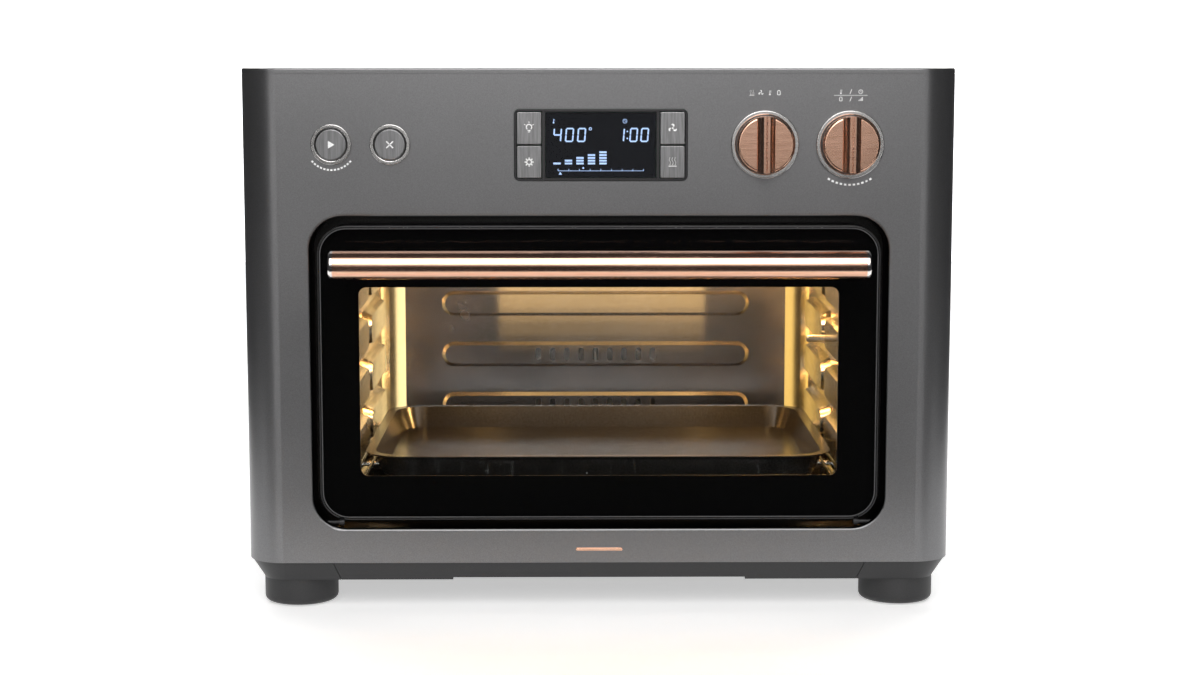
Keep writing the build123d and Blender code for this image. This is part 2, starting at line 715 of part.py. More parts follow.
def key_places():
    """Node name and centre of each small key, left column first."""
    left = DISPLAY_X - KEY_OFFSET_X
    right = DISPLAY_X + KEY_OFFSET_X
    middle = CONTROL_Z - 0.35
    return {"light_key": (left, middle + KEY_OFFSET_Z), "settings_key": (left, middle - KEY_OFFSET_Z),
            "convection_key": (right, middle + KEY_OFFSET_Z), "crisp_key": (right, middle - KEY_OFFSET_Z)}


def key(x, z):
    cap = panel(Pos(x, z) * RectangleRounded(KEY_W, KEY_H, 1.0), -0.9, 3.0)
    cap = fillet(on_face(cap.edges(), -0.9), 0.5)
    cap += block((x - KEY_W / 2 + 1, x + KEY_W / 2 - 1), (2.8, 4.0), (z - KEY_H / 2 + 1, z + KEY_H / 2 - 1))
    return cap + post(x, z, 2.2, 3.5, STEM_END)


def display_bezel():
    body = panel(display_outline(0), -0.7, 2.4)
    body = fillet(on_face(body.edges(), -0.7), 0.4)
    body -= panel(display_outline(-1.2), -2, 0.6)
    for x, z in key_places().values():
        body -= panel(Pos(x, z) * RectangleRounded(KEY_W + 2 * KEY_GAP, KEY_H + 2 * KEY_GAP, 1.2), -2, 4)
    window = Pos(DISPLAY_X, CONTROL_Z - 0.35) * RectangleRounded(LCD_W, LCD_H, 0.8)
    body -= panel(window, -2, 4)
    for side in (-1, 1):
        x = DISPLAY_X + side * (LCD_W / 2 + 0.2)
        body += post(x, CONTROL_Z - DISPLAY_H / 2 + 0.8, 0.5, 2.0, BOARD_DEPTH)
    return body


def display_lens():
    return panel(Pos(DISPLAY_X, CONTROL_Z - 0.35) * RectangleRounded(LCD_W - 0.2, LCD_H - 0.2, 0.7), 0.2, 2.0)


def display_panel():
    return panel(Pos(DISPLAY_X, CONTROL_Z - 0.35) * Rectangle(LCD_W - 1, LCD_H - 1), 3.0, 8.0)


def control_board():
    return block((-178, 178), (BOARD_DEPTH, BOARD_DEPTH + BOARD_T), (264, 334))


# ---- food carriers and crumb tray ----
def wire_rack():
    near = RACK_NEAR
    far = RACK_FAR
    path = Pos(0, FRONT_Y + (near + far) / 2, RACK_Z) * RectangleRounded(2 * RACK_X, far - near, 10)
    loop = path.wires()[0]
    rack = sweep(Plane(loop @ 0, z_dir=loop % 0) * Circle(RACK_WIRE_R), loop)
    for side in (-1, 1):
        for step in range(0, 10):
            x = side * (8 + 16.4 * step)
            rack += post(x, RACK_Z + 0.4, RACK_BAR_R, near, far)
    for depth in (120, 206):
        rack += cross_rod(RACK_BAR_R + 0.4, (-RACK_X, RACK_X), depth, RACK_Z - 0.4)
    return rack


def pan_sections(inset, base):
    """Pan form between its floor and rim, shrunk by the sheet's thickness for the inside."""
    middle = FRONT_Y + (PAN_NEAR + PAN_FAR) / 2
    width = 2 * (PAN_X - 5 - inset)
    depth = PAN_FAR - PAN_NEAR - 10 - 2 * inset
    low = Pos(0, middle, base) * RectangleRounded(width - 12, depth - 12, 18 - inset)
    high = Pos(0, middle, PAN_RIM_Z + inset) * RectangleRounded(width, depth, 24 - inset)
    return loft([low, high], ruled=True)


def baking_pan():
    base = RACK_Z + RACK_WIRE_R + 0.1
    middle = FRONT_Y + (PAN_NEAR + PAN_FAR) / 2
    rim = RectangleRounded(2 * PAN_X, PAN_FAR - PAN_NEAR, 28)
    pan = pan_sections(0, base)
    pan += extrude(Pos(0, middle, PAN_RIM_Z - PAN_T) * rim, PAN_T)
    pan = fillet(pan.faces().sort_by(Axis.Z)[0].edges(), 3.0)
    pan -= pan_sections(PAN_T, base + PAN_T)
    return pan


def crumb_tray():
    bar = plinth(0) & panel(tray_front_outline(0), -1, 14)
    bar -= block((-NOTCH_X, NOTCH_X), (0, 9.6), (PLINTH_BASE - 1, PLINTH_BASE + 1.6))
    bar -= block((-TRAY_LOW_X + 3, TRAY_LOW_X - 3), (9.6, 15), (PLINTH_BASE - 1, TRAY_FLOOR))
    depths = (12.0, TRAY_FAR)
    wall_top = PLINTH_TOP - 0.1
    outer = block((-TRAY_X, TRAY_X), depths, (TRAY_FLOOR, wall_top))
    inner = block((-TRAY_X + SHEET, TRAY_X - SHEET), (depths[0] + 2, depths[1] - SHEET),
                  (TRAY_FLOOR + SHEET, wall_top + 1))
    return bar + outer - inner


def build():
    os.makedirs("parts", exist_ok=True)
    save("front_fascia", front_fascia())
    save("side_panel_left", side_panel(-1))
    save("side_panel_right", side_panel(1))
    save("top_cover", top_cover())
    save("back_panel", back_panel())
    save("base_pan", base_pan())
    save("feet", *[foot(side, depth) for side, depth in each_foot()])
    save("foot_pads", *[foot_pad(side, depth) for side, depth in each_foot()])
    save("rear_spacers", rear_spacer(-1), rear_spacer(1))
    save("cord_bushing", cord_bushing())
    save("badge_bar", badge_bar())
    save("body_screws", *[screw(x, z, BODY_D, 8, SCREW_R, 3.4) for x, z in back_screw_places()])
    save("cavity_wall_left", cavity_wall(-1))
    save("cavity_wall_right", cavity_wall(1))
    save("cavity_roof", cavity_roof())
    save("cavity_back_wall", cavity_back_wall())
    save("cavity_front_frame", cavity_front_frame())
    save("insulation_blankets", *insulation_blankets())
    save("fan_cover", fan_cover())
    save("fan_impeller", fan_impeller())
    save("fan_shaft", post(0, FAN_Z, SHAFT_R, 303, 356))
    save("fan_motor", fan_motor())
    save("heating_rods", *heating_rods())
    save("heater_insulators", *heater_insulators())
    save("oven_lamp", oven_lamp())
    save("lamp_lens", lamp_lens())
    save("temperature_probe", temperature_probe())
    save("power_board", power_board())
    save("control_board", control_board())
    switches = [tact_switch(x, z) for x, z in key_places().values()]
    switches += [tact_switch(x, CONTROL_Z) for x in BUTTON_X]
    save("control_switches", *switches, *[encoder(x) for x in KNOB_X])
    save("control_rings", *[knob_ring(x) for x in KNOB_X], *[button_ring(x) for x in BUTTON_X])
    save("display_bezel", display_bezel())
    save("display_lens", display_lens())
    save("display_panel", display_panel())
    save("door_gasket", door_gasket())
    save("hinge_brackets", hinge_bracket(-1), hinge_bracket(1))
    save("hinge_pins", hinge_pin(-1), hinge_pin(1))
    save("hinge_springs", hinge_spring(-1), hinge_spring(1))
    save("door_outer_glass", door_outer_glass())
    save("door_frame", door_frame())
    save("door_inner_glass", door_inner_glass())
    save("hinge_arms", hinge_arm(-1), hinge_arm(1))
    save("handle_bar", handle_bar())
    save("handle_end_caps", handle_end_cap(-1), handle_end_cap(1))
    save("handle_posts", *[handle_post(x, z) for x, z in door_screw_places()])
    save("handle_screws", *[handle_screw(x, z) for x, z in door_screw_places()])
    save("mode_knob", knob(KNOB_X[0], SHAFT_R, SHAFT_TIP))
    save("mode_shaft", dial_shaft(KNOB_X[0], BOARD_DEPTH - 2))
    save("temp_knob", knob(KNOB_X[1], SHAFT_R + RUNNING, SHAFT_TIP - GAP))
    save("temp_shaft", dial_shaft(KNOB_X[1], BOARD_DEPTH - 2 - PUSH))
    save("start_button", round_button(BUTTON_X[0]))
    save("cancel_button", round_button(BUTTON_X[1]))
    for node, (x, z) in key_places().items():
        save(node, key(x, z))
    save("wire_rack", wire_rack())
    save("baking_pan", baking_pan())
    save("crumb_tray", crumb_tray())


build()
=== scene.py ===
"""Looks of the countertop oven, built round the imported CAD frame. Blender 4.5, metres."""

import json
import math

import bmesh
import bpy
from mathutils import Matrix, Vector


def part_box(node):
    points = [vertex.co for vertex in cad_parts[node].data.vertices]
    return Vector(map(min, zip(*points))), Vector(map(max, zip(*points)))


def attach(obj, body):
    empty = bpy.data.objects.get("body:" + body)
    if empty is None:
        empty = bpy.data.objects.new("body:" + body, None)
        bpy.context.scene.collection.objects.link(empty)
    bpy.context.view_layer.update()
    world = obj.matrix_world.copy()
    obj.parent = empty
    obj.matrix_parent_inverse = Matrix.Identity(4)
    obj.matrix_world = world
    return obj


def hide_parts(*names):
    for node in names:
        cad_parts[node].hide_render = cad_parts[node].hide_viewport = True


MM = 0.001

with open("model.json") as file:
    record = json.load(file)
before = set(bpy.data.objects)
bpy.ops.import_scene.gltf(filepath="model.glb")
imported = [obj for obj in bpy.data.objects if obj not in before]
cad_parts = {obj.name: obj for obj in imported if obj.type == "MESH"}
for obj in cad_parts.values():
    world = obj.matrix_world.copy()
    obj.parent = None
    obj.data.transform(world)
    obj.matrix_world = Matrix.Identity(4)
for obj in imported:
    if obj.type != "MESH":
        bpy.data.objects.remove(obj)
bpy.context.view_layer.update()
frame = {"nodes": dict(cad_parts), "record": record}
NODES = frame["nodes"]
FACE_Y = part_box("front_fascia")[0].y
TOP_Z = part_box("top_cover")[1].z

# ---- camera: in front of the oven, level with its top and looking slightly down ----
CAMERA_LENS = 65.93
CAMERA_SENSOR = 36.0
CAMERA_PITCH = 6.99
CAMERA_YAW = -0.58
CAMERA_X = -0.0135
CAMERA_BACK = 1.380

# ---- stage: floor near the oven, wide surround, wall behind and screens at the sides ----
FLOOR_HALF = 0.7
FLOOR_FRONT = -0.40
STAGE_FAR = 2.4
STAGE_REACH = 4.0
SCREEN_LOW = -0.5
SCREEN_HIGH = 4.0
WORLD_GREY = (0.035, 0.035, 0.037, 1)

# ---- light colours ----
WARM = (1.0, 0.54, 0.17)
GLOW_AMBER = (1.0, 0.62, 0.22)
FILL_CREAM = (1.0, 0.88, 0.80)
STUDIO = (1.0, 0.99, 0.98)

# ---- printed marks: symbol sizes, and heights above a dial's axis ----
PRINT_T = 0.04 * MM
START_SYMBOL = 4.8 * MM
CANCEL_SYMBOL = 4.4 * MM
KEY_SYMBOL = 5.6 * MM
START_ARC_R = 15.9 * MM
MODE_SYMBOL = 3.3 * MM
MODE_PITCH = 5.6 * MM
MODE_ROW = 32.2 * MM
TEMP_SYMBOL = 3.0 * MM
TEMP_SIDE = 6.2 * MM         # from the middle to a symbol
TEMP_ROW_HIGH = 32.8 * MM
TEMP_ROW_LOW = 28.3 * MM
TEMP_RULE = 30.6 * MM
TEMP_RULE_LENGTH = 21 * MM
TEMP_RULE_W = 0.25 * MM
TEMP_ARC_R = 25.3 * MM
SLASH_HALF_X = 0.5 * MM
SLASH_HALF_Z = 1.3 * MM
SLASH_W = 0.35 * MM

# ---- painted shade: black on the front's jamb, for the shade in the gap round the door ----
JAMB_PAINTED_SHADE = (0.004, 0.004, 0.004, 1)
JAMB_MARGIN = 8 * MM         # the black reaches this far past the door's outline
JAMB_START = 0.15 * MM       # depth behind the face where the paint starts to fade to black
JAMB_FULL = 0.6 * MM         # depth where it is fully black

# ---- print on the door glass ----
GLASS_CORNER_R = 17.3 * MM
BORDER_INSET = 0.4 * MM
# painted highlight: a grey line along the front edge of the door glass
EDGE_LINE_INSET = 1.1 * MM
EDGE_LINE_PROUD = 0.02 * MM
WINDOW_INSET = 7.4 * MM      # the border covers the inner pane's seat
WINDOW_R = 5.0 * MM
WINDOW_UP_LOW = 1.2 * MM     # how far the window's lower and upper edges lie above that inset
WINDOW_UP_HIGH = 2.0 * MM
BORDER_T = 0.1 * MM
BORDER_GAP = 0.05 * MM

# ---- display: heights are shares of the panel, from its top ----
LEFT_DIGITS = ((0.105, "4"), (0.215, "0"), (0.325, "0"))
RIGHT_DIGITS = ((0.68, "1"), (0.80, "0"), (0.90, "0"))
DIGIT_ROW = 0.345
DIGIT_H = 8.0 * MM
DIGIT_LINE = 0.95 * MM
SEGMENT_SLANT = 0.08
LEFT_DIGIT_W = 4.4 * MM
RIGHT_DIGIT_W = 4.2 * MM
COLON_X = 0.742
COLON_ROWS = (0.29, 0.40)
ICON_ROW = 0.13
ICON_SIZE = 3.0 * MM
LEVEL_ROW = 0.70
LEVEL_COLUMNS = 5
LEVEL_W = 4.6 * MM
LEVEL_H = 1.15 * MM
LEVEL_PITCH = 1.75 * MM
LEVEL_DROP = 3.6 * MM        # from that row down to the lowest bars
SCALE_ROW = 0.905
SCALE_SHARE = 0.78
SCALE_LINE = 0.3 * MM
SCALE_TICK = 1.2 * MM
SCALE_TICKS = 9

# ---- felt ----
FELT_CELL = 8 * MM
FELT_ROUNDING = 12 * MM

# ---- glass ----
SMUDGE = 0.02                # extra roughness where the glass is smudged

# Sockets of a Mix node that mixes colours
MIX_FACTOR, MIX_A, MIX_B, MIX_RESULT = 0, 6, 7, 2


# ================= node helpers =================
def shader(name):
    mat = bpy.data.materials.new(name)
    mat.use_nodes = True
    tree = mat.node_tree
    return mat, tree, tree.nodes["Principled BSDF"]


def feed(tree, socket, value):
    """Links a socket to the input, or sets the input to a plain value."""
    if isinstance(value, bpy.types.NodeSocket):
        tree.links.new(value, socket)
    else:
        socket.default_value = value


def add(tree, kind, **inputs):
    """New node with the given inputs."""
    made = tree.nodes.new(kind)
    for name, value in inputs.items():
        feed(tree, made.inputs[name.replace("_", " ")], value)
    return made


def maths(tree, operation, first, second):
    made = tree.nodes.new("ShaderNodeMath")
    made.operation = operation
    feed(tree, made.inputs[0], first)
    feed(tree, made.inputs[1], second)
    return made.outputs[0]


def ramp(tree, factor, low, dark, high, light):
    made = add(tree, "ShaderNodeValToRGB", Fac=factor)
    stops = made.color_ramp.elements
    stops[0].position, stops[0].color = low, (*dark, 1)
    stops[1].position, stops[1].color = high, (*light, 1)
    return made.outputs["Color"]


def remap(tree, value, low, high, start=0.3, end=0.7):
    """Stretches start..end of the value over low..high."""
    made = add(tree, "ShaderNodeMapRange", Value=value)
    made.inputs["From Min"].default_value = start
    made.inputs["From Max"].default_value = end
    made.inputs["To Min"].default_value = low
    made.inputs["To Max"].default_value = high
    return made.outputs["Result"]


def place(tree, stretch=(1, 1, 1)):
    """The mesh's own coordinates, in metres, stretched to give a direction to a pattern."""
    own = tree.nodes.new("ShaderNodeTexCoord").outputs["Object"]
    return add(tree, "ShaderNodeMapping", Vector=own, Scale=stretch).outputs["Vector"]


def noise(tree, vector, scale, detail=3.0):
    made = add(tree, "ShaderNodeTexNoise", Vector=vector, Scale=scale, Detail=detail, Roughness=0.55)
    return made.outputs["Fac"]


def relief(tree, bsdf, height, distance):
    bump = add(tree, "ShaderNodeBump", Height=height, Distance=distance, Strength=1.0)
    tree.links.new(bump.outputs["Normal"], bsdf.inputs["Normal"])


def surface(name, dark, light, rough, metallic=0.0, grain=1200.0, stretch=(1, 1, 1), broad=14.0,
            spread=0.05, depth=0.02, contrast=0.15, **sockets):
    """A finish with a fine grain in its colour and relief, and broad changes in its gloss."""
    mat, tree, bsdf = shader(name)
    fine = noise(tree, place(tree, stretch), grain)
    colour = ramp(tree, fine, 0.5 - contrast, dark, 0.5 + contrast, light)
    tree.links.new(colour, bsdf.inputs["Base Color"])
    gloss = noise(tree, place(tree), broad, detail=4.0)
    tree.links.new(remap(tree, gloss, rough - spread, rough + spread), bsdf.inputs["Roughness"])
    relief(tree, bsdf, fine, depth * MM)
    bsdf.inputs["Metallic"].default_value = metallic
    for socket, value in sockets.items():
        bsdf.inputs[socket.replace("_", " ")].default_value = value
    return mat


def clear_pane(name, tint, ior, rough):
    """Thin glass: clear through, with a Fresnel reflection on its faces and faint smudges."""
    mat, tree, bsdf = shader(name)
    bsdf.inputs["Base Color"].default_value = (1, 1, 1, 1)
    bsdf.inputs["Metallic"].default_value = 1.0
    marks = noise(tree, place(tree), 22.0, detail=5.0)
    tree.links.new(remap(tree, marks, rough, rough + SMUDGE), bsdf.inputs["Roughness"])
    clear = add(tree, "ShaderNodeBsdfTransparent", Color=(*tint, 1))
    amount = add(tree, "ShaderNodeFresnel", IOR=ior)
    mix = add(tree, "ShaderNodeMixShader", Fac=amount.outputs["Fac"])
    tree.links.new(clear.outputs["BSDF"], mix.inputs[1])
    tree.links.new(bsdf.outputs["BSDF"], mix.inputs[2])
    tree.links.new(mix.outputs["Shader"], tree.nodes["Material Output"].inputs["Surface"])
    return mat


def glow(name, colour, strength, low=0.8):
    """Lit print or glass: its emission varies from low to full in a fine grain."""
    mat, tree, bsdf = shader(name)
    grain = noise(tree, place(tree), 900.0)
    dim = tuple(low * channel for channel in colour)
    lit = ramp(tree, grain, 0.3, dim, 0.7, colour)
    tree.links.new(lit, bsdf.inputs["Emission Color"])
    tree.links.new(lit, bsdf.inputs["Base Color"])
    bsdf.inputs["Emission Strength"].default_value = strength
    bsdf.inputs["Roughness"].default_value = 0.5
    return mat


# ================= materials, one per slot of the record =================
# Dark end, light end, roughness, metallic, and then the grain of each finish.
MATERIALS = {
    "graphite_paint": surface("graphite_paint", (0.180, 0.180, 0.184), (0.232, 0.232, 0.237), 0.34, 0.9,
                              grain=2600.0, depth=0.004, spread=0.02),
    "dark_casing": surface("dark_casing", (0.080, 0.080, 0.083), (0.110, 0.110, 0.113), 0.42, 0.5,
                           grain=2200.0, depth=0.006),
    "plinth_grey": surface("plinth_grey", (0.028, 0.028, 0.029), (0.038, 0.038, 0.039), 0.42, 0.4,
                           grain=2200.0, depth=0.006),
    "foot_plastic": surface("foot_plastic", (0.016, 0.016, 0.017), (0.025, 0.025, 0.026), 0.5, 0.0,
                            grain=1800.0, depth=0.05),
    "pad_rubber": surface("pad_rubber", (0.018, 0.018, 0.018), (0.035, 0.035, 0.034), 0.8, 0.0,
                          grain=2500.0, depth=0.06),
    "copper": surface("copper", (0.72, 0.42, 0.29), (0.86, 0.54, 0.40), 0.20, 1.0,
                      grain=2400.0, stretch=(0.03, 1, 1), spread=0.04, depth=0.0005),
    "polished_trim": surface("polished_trim", (0.72, 0.68, 0.66), (0.86, 0.82, 0.80), 0.12, 1.0,
                             grain=600.0, depth=0.002, spread=0.03),
    "zinc_screw": surface("zinc_screw", (0.45, 0.45, 0.46), (0.66, 0.66, 0.68), 0.32, 1.0,
                          grain=900.0, depth=0.01),
    "cavity_steel": surface("cavity_steel", (0.66, 0.58, 0.46), (0.84, 0.76, 0.63), 0.24, 1.0,
                            grain=700.0, stretch=(1, 0.04, 1), depth=0.006, broad=9.0, spread=0.07),
    "insulation": surface("insulation", (0.62, 0.58, 0.46), (0.88, 0.85, 0.76), 0.95, 0.0,
                          grain=420.0, depth=0.8, contrast=0.2),
    "fan_cover_grey": surface("fan_cover_grey", (0.40, 0.38, 0.39), (0.50, 0.48, 0.49), 0.24, 1.0,
                              grain=1600.0, depth=0.002, spread=0.04),
    "motor_steel": surface("motor_steel", (0.42, 0.42, 0.43), (0.62, 0.62, 0.63), 0.35, 1.0,
                           grain=800.0, depth=0.01),
    "heater_rod": surface("heater_rod", (0.12, 0.11, 0.10), (0.26, 0.24, 0.22), 0.45, 0.8,
                          grain=700.0, depth=0.03),
    "heater_ceramic": surface("heater_ceramic", (0.72, 0.69, 0.62), (0.85, 0.82, 0.76), 0.7, 0.0,
                              grain=900.0, depth=0.05),
    "lamp_glass": glow("lamp_glass", (1.0, 0.78, 0.45), 6.0),
    "lamp_cover": clear_pane("lamp_cover", (0.98, 0.94, 0.86), 1.45, 0.12),
    "probe_steel": surface("probe_steel", (0.40, 0.40, 0.40), (0.58, 0.58, 0.58), 0.3, 1.0,
                           grain=900.0, depth=0.006),
    "circuit_board": surface("circuit_board", (0.02, 0.12, 0.06), (0.05, 0.24, 0.12), 0.35, 0.0,
                             grain=180.0, depth=0.05),
    "switch_plastic": surface("switch_plastic", (0.05, 0.05, 0.05), (0.11, 0.11, 0.11), 0.5, 0.0,
                              grain=1500.0, depth=0.02),
    "ring_silver": surface("ring_silver", (0.52, 0.51, 0.50), (0.66, 0.65, 0.64), 0.22, 1.0,
                           grain=1400.0, depth=0.0005),
    "bezel_black": surface("bezel_black", (0.012, 0.012, 0.013), (0.022, 0.022, 0.024), 0.3, 0.0,
                           grain=1500.0, depth=0.006),
    "display_glass": clear_pane("display_glass", (0.80, 0.82, 0.86), 1.25, 0.03),
    "display_dark": surface("display_dark", (0.004, 0.004, 0.006), (0.008, 0.009, 0.012), 0.35, 0.0,
                            grain=1500.0, depth=0.001, Specular_IOR_Level=0.05),
    "seal_rubber": surface("seal_rubber", (0.015, 0.015, 0.015), (0.03, 0.03, 0.03), 0.7, 0.0,
                           grain=1500.0, depth=0.04),
    "hinge_steel": surface("hinge_steel", (0.025, 0.025, 0.026), (0.045, 0.045, 0.046), 0.45, 0.8,
                           grain=800.0, depth=0.01),
    "spring_steel": surface("spring_steel", (0.030, 0.030, 0.031), (0.052, 0.052, 0.053), 0.42, 0.8,
                            grain=800.0, depth=0.008),
    "door_glass": clear_pane("door_glass", (0.97, 0.98, 0.98), 1.12, 0.02),
    "door_black": surface("door_black", (0.010, 0.010, 0.010), (0.018, 0.018, 0.018), 0.42, 0.0,
                          grain=1300.0, depth=0.01),
    "inner_glass": clear_pane("inner_glass", (0.98, 0.99, 0.99), 1.10, 0.02),
    "rack_wire": surface("rack_wire", (0.58, 0.58, 0.59), (0.76, 0.76, 0.77), 0.18, 1.0,
                         grain=700.0, depth=0.004),
    "pan_enamel": surface("pan_enamel", (0.012, 0.011, 0.010), (0.022, 0.020, 0.019), 0.20, 0.0,
                          grain=900.0, depth=0.003, spread=0.03, Specular_IOR_Level=0.25),
    "button_silver": surface("button_silver", (0.22, 0.22, 0.225), (0.31, 0.31, 0.315), 0.38, 1.0,
                             grain=900.0, stretch=(1, 1, 0.06), depth=0.006),
}
WHITE_PRINT = surface("white_print", (0.72, 0.72, 0.72), (0.86, 0.86, 0.86), 0.5, 0.0, grain=1500.0)
BLACK_PRINT = surface("black_print", (0.0018, 0.0018, 0.0019), (0.003, 0.003, 0.003), 0.5, 0.0,
                      grain=1500.0, Specular_IOR_Level=0.0)
LIT_SEGMENT = glow("lit_segment", (0.55, 0.72, 1.0), 1.1)
# grey of the painted highlight on the door glass's edge
EDGE_HIGHLIGHT_GREY = surface("painted_edge_highlight", (0.045, 0.045, 0.047), (0.070, 0.070, 0.072), 0.35, 0.0, grain=1500.0)


def between(tree, value, low, high):
    """1 where the value lies between the two limits, else 0."""
    above = maths(tree, "GREATER_THAN", value, low)
    below = maths(tree, "LESS_THAN", value, high)
    return maths(tree, "MULTIPLY", above, below)


def paint_jamb_shade():
    """Painted shade: the opening's rounded edge and jamb are black behind the face, standing in for the
    shade in the gap round the door and hiding the floor's reflection there.
    """
    tree = MATERIALS["graphite_paint"].node_tree
    bsdf = tree.nodes["Principled BSDF"]
    paint = bsdf.inputs["Base Color"].links[0].from_socket
    low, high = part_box("door_outer_glass")
    split = add(tree, "ShaderNodeSeparateXYZ", Vector=place(tree)).outputs
    jamb_shade_mask = remap(tree, split["Y"], 0.0, 1.0, FACE_Y + JAMB_START, FACE_Y + JAMB_FULL)
    for axis, near, far in (("X", low.x, high.x), ("Z", low.z, high.z)):
        inside = between(tree, split[axis], near - JAMB_MARGIN, far + JAMB_MARGIN)
        jamb_shade_mask = maths(tree, "MULTIPLY", jamb_shade_mask, inside)
    # painted shade: black mixed over the paint inside the door's outline, behind the face
    mixed = tree.nodes.new("ShaderNodeMix")
    mixed.data_type = "RGBA"
    feed(tree, mixed.inputs[MIX_FACTOR], jamb_shade_mask)
    feed(tree, mixed.inputs[MIX_A], paint)
    feed(tree, mixed.inputs[MIX_B], JAMB_PAINTED_SHADE)
    tree.links.new(mixed.outputs[MIX_RESULT], bsdf.inputs["Base Color"])


def paint_cad():
    """Every CAD node takes the material of its slot."""
    for part in frame["record"]["subparts"]:
        mesh = NODES[part["node"]].data
        mesh.materials.clear()
        mesh.materials.append(MATERIALS[part["material_slot"]])


# ================= flat print and segments =================
def centre(node):
    low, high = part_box(node)
    return (low + high) / 2


def mesh_object(name, bm, material):
    mesh = bpy.data.meshes.new(name)
    bm.to_mesh(mesh)
    bm.free()
    piece = bpy.data.objects.new(name, mesh)
    bpy.context.scene.collection.objects.link(piece)
    mesh.materials.append(material)
    return piece


def flat_piece(name, bm, material, body):
    """The finished plates as one piece of the oven."""
    bmesh.ops.recalc_face_normals(bm, faces=bm.faces)
    piece = mesh_object(name, bm, material)
    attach(piece, body)


def print_on(name, outlines, face, body, material=WHITE_PRINT):
    """Thin closed plates on a face at Y: outlines are lists of (x, z) in metres."""
    bm = bmesh.new()
    for outline in outlines:
        front = [bm.verts.new((x, face - PRINT_T, z)) for x, z in outline]
        back = [bm.verts.new((x, face, z)) for x, z in outline]
        bm.faces.new(front)
        bm.faces.new(back[::-1])
        for i in range(len(outline)):
            j = (i + 1) % len(outline)
            bm.faces.new((front[j], front[i], back[i], back[j]))
    flat_piece(name, bm, material, body)


def arc_points(x, z, radius, start, end, steps):
    """Points along an arc, in degrees from +X towards +Z."""
    angles = [math.radians(start + (end - start) * i / steps) for i in range(steps + 1)]
    return [(x + radius * math.cos(a), z + radius * math.sin(a)) for a in angles]


def arc_band(x, z, inner, outer, start, end, steps=16):
    """Part of a flat ring."""
    return arc_points(x, z, outer, start, end, steps) + arc_points(x, z, inner, end, start, steps)


def full_ring(x, z, inner, outer):
    return [arc_band(x, z, inner, outer, 0, 180), arc_band(x, z, inner, outer, 180, 360)]


def disc(x, z, radius, steps=24):
    return arc_points(x, z, radius, 0, 360 - 360 / steps, steps - 1)


def bar(x, z, width, height):
    w, h = width / 2, height / 2
    return [(x - w, z - h), (x + w, z - h), (x + w, z + h), (x - w, z + h)]


def stroke(points, width):
    """Line of even width through the points, as one capsule for each run."""
    shapes = []
    for (x0, z0), (x1, z1) in zip(points, points[1:]):
        angle = math.degrees(math.atan2(z1 - z0, x1 - x0))
        shapes.append(arc_points(x1, z1, width / 2, angle - 90, angle + 90, 6)
                      + arc_points(x0, z0, width / 2, angle + 90, angle + 270, 6))
    return shapes


def scaled(shapes, x, z, size):
    """Shapes drawn at unit size round the origin, moved and scaled."""
    return [[(x + size * px, z + size * pz) for px, pz in shape] for shape in shapes]


# Each symbol is drawn at about unit size round the origin.
def play_symbol():
    return [[(-0.36, -0.5), (0.5, 0.0), (-0.36, 0.5)]]


def cross_symbol():
    return stroke([(-0.42, -0.42), (0.42, 0.42)], 0.17) + stroke([(-0.42, 0.42), (0.42, -0.42)], 0.17)


def bulb_symbol():
    shapes = [arc_band(0, 0.12, 0.25, 0.36, -50, 230, 20)]
    shapes += [bar(0, -0.26, 0.34, 0.08), bar(0, -0.42, 0.24, 0.08)]
    for angle in (30, 90, 150):
        dx, dz = math.cos(math.radians(angle)), math.sin(math.radians(angle))
        shapes += stroke([(0.47 * dx, 0.12 + 0.47 * dz), (0.6 * dx, 0.12 + 0.6 * dz)], 0.08)
    return shapes


def gear_symbol():
    shapes = full_ring(0, 0, 0.2, 0.34)
    for tooth in range(8):
        a = math.radians(45 * tooth)
        shapes += stroke([(0.36 * math.cos(a), 0.36 * math.sin(a)),
                          (0.46 * math.cos(a), 0.46 * math.sin(a))], 0.14)
    return shapes


def fan_symbol():
    shapes = [disc(0, 0, 0.1)]
    for blade in range(3):
        turn = 120 * blade + 90
        a = math.radians(turn)
        x, z = 0.3 * math.cos(a), 0.3 * math.sin(a)
        shapes.append(arc_band(x, z, 0.02, 0.2, turn - 150, turn + 60, 14))
    return shapes


def crisp_symbol():
    """Three rising heat waves over a plate line."""
    shapes = [bar(0, -0.46, 0.9, 0.09)]
    for x in (-0.3, 0.0, 0.3):
        wave = [(x + 0.07 * math.sin(2 * math.pi * t / 8), -0.28 + 0.75 * t / 8) for t in range(9)]
        shapes += stroke(wave, 0.08)
    return shapes


def thermometer_symbol():
    ticks = [bar(0.2, z, 0.14, 0.06) for z in (0.05, 0.2, 0.35)]
    return [disc(0, -0.32, 0.17), bar(0, 0.08, 0.12, 0.7)] + ticks


def clock_symbol():
    return full_ring(0, 0, 0.36, 0.46) + stroke([(0, 0.22), (0, 0), (0.18, -0.1)], 0.09)


def slice_symbol():
    """Outline of a slice of bread."""
    sides = [bar(x, -0.12, 0.12, 0.56) for x in (-0.26, 0.26)]
    return [arc_band(0, 0.16, 0.2, 0.32, 0, 180)] + sides + [bar(0, -0.40, 0.4, 0.12)]


def shade_symbol():
    """Four bars that grow, like a browning level."""
    return [bar(-0.36 + 0.24 * i, -0.4 + 0.1 * (i + 1), 0.14, 0.2 * (i + 1)) for i in range(4)]


def dashes_on_arc(x, z, radius, start, end, count, length, width):
    """Short dashes that follow an arc, like the marks round a dial."""
    shapes = []
    half = math.degrees(length / radius) / 2
    inner, outer = radius - width / 2, radius + width / 2
    for i in range(count):
        middle = start + (end - start) * i / (count - 1)
        shapes.append(arc_band(x, z, inner, outer, middle - half, middle + half, 3))
    return shapes


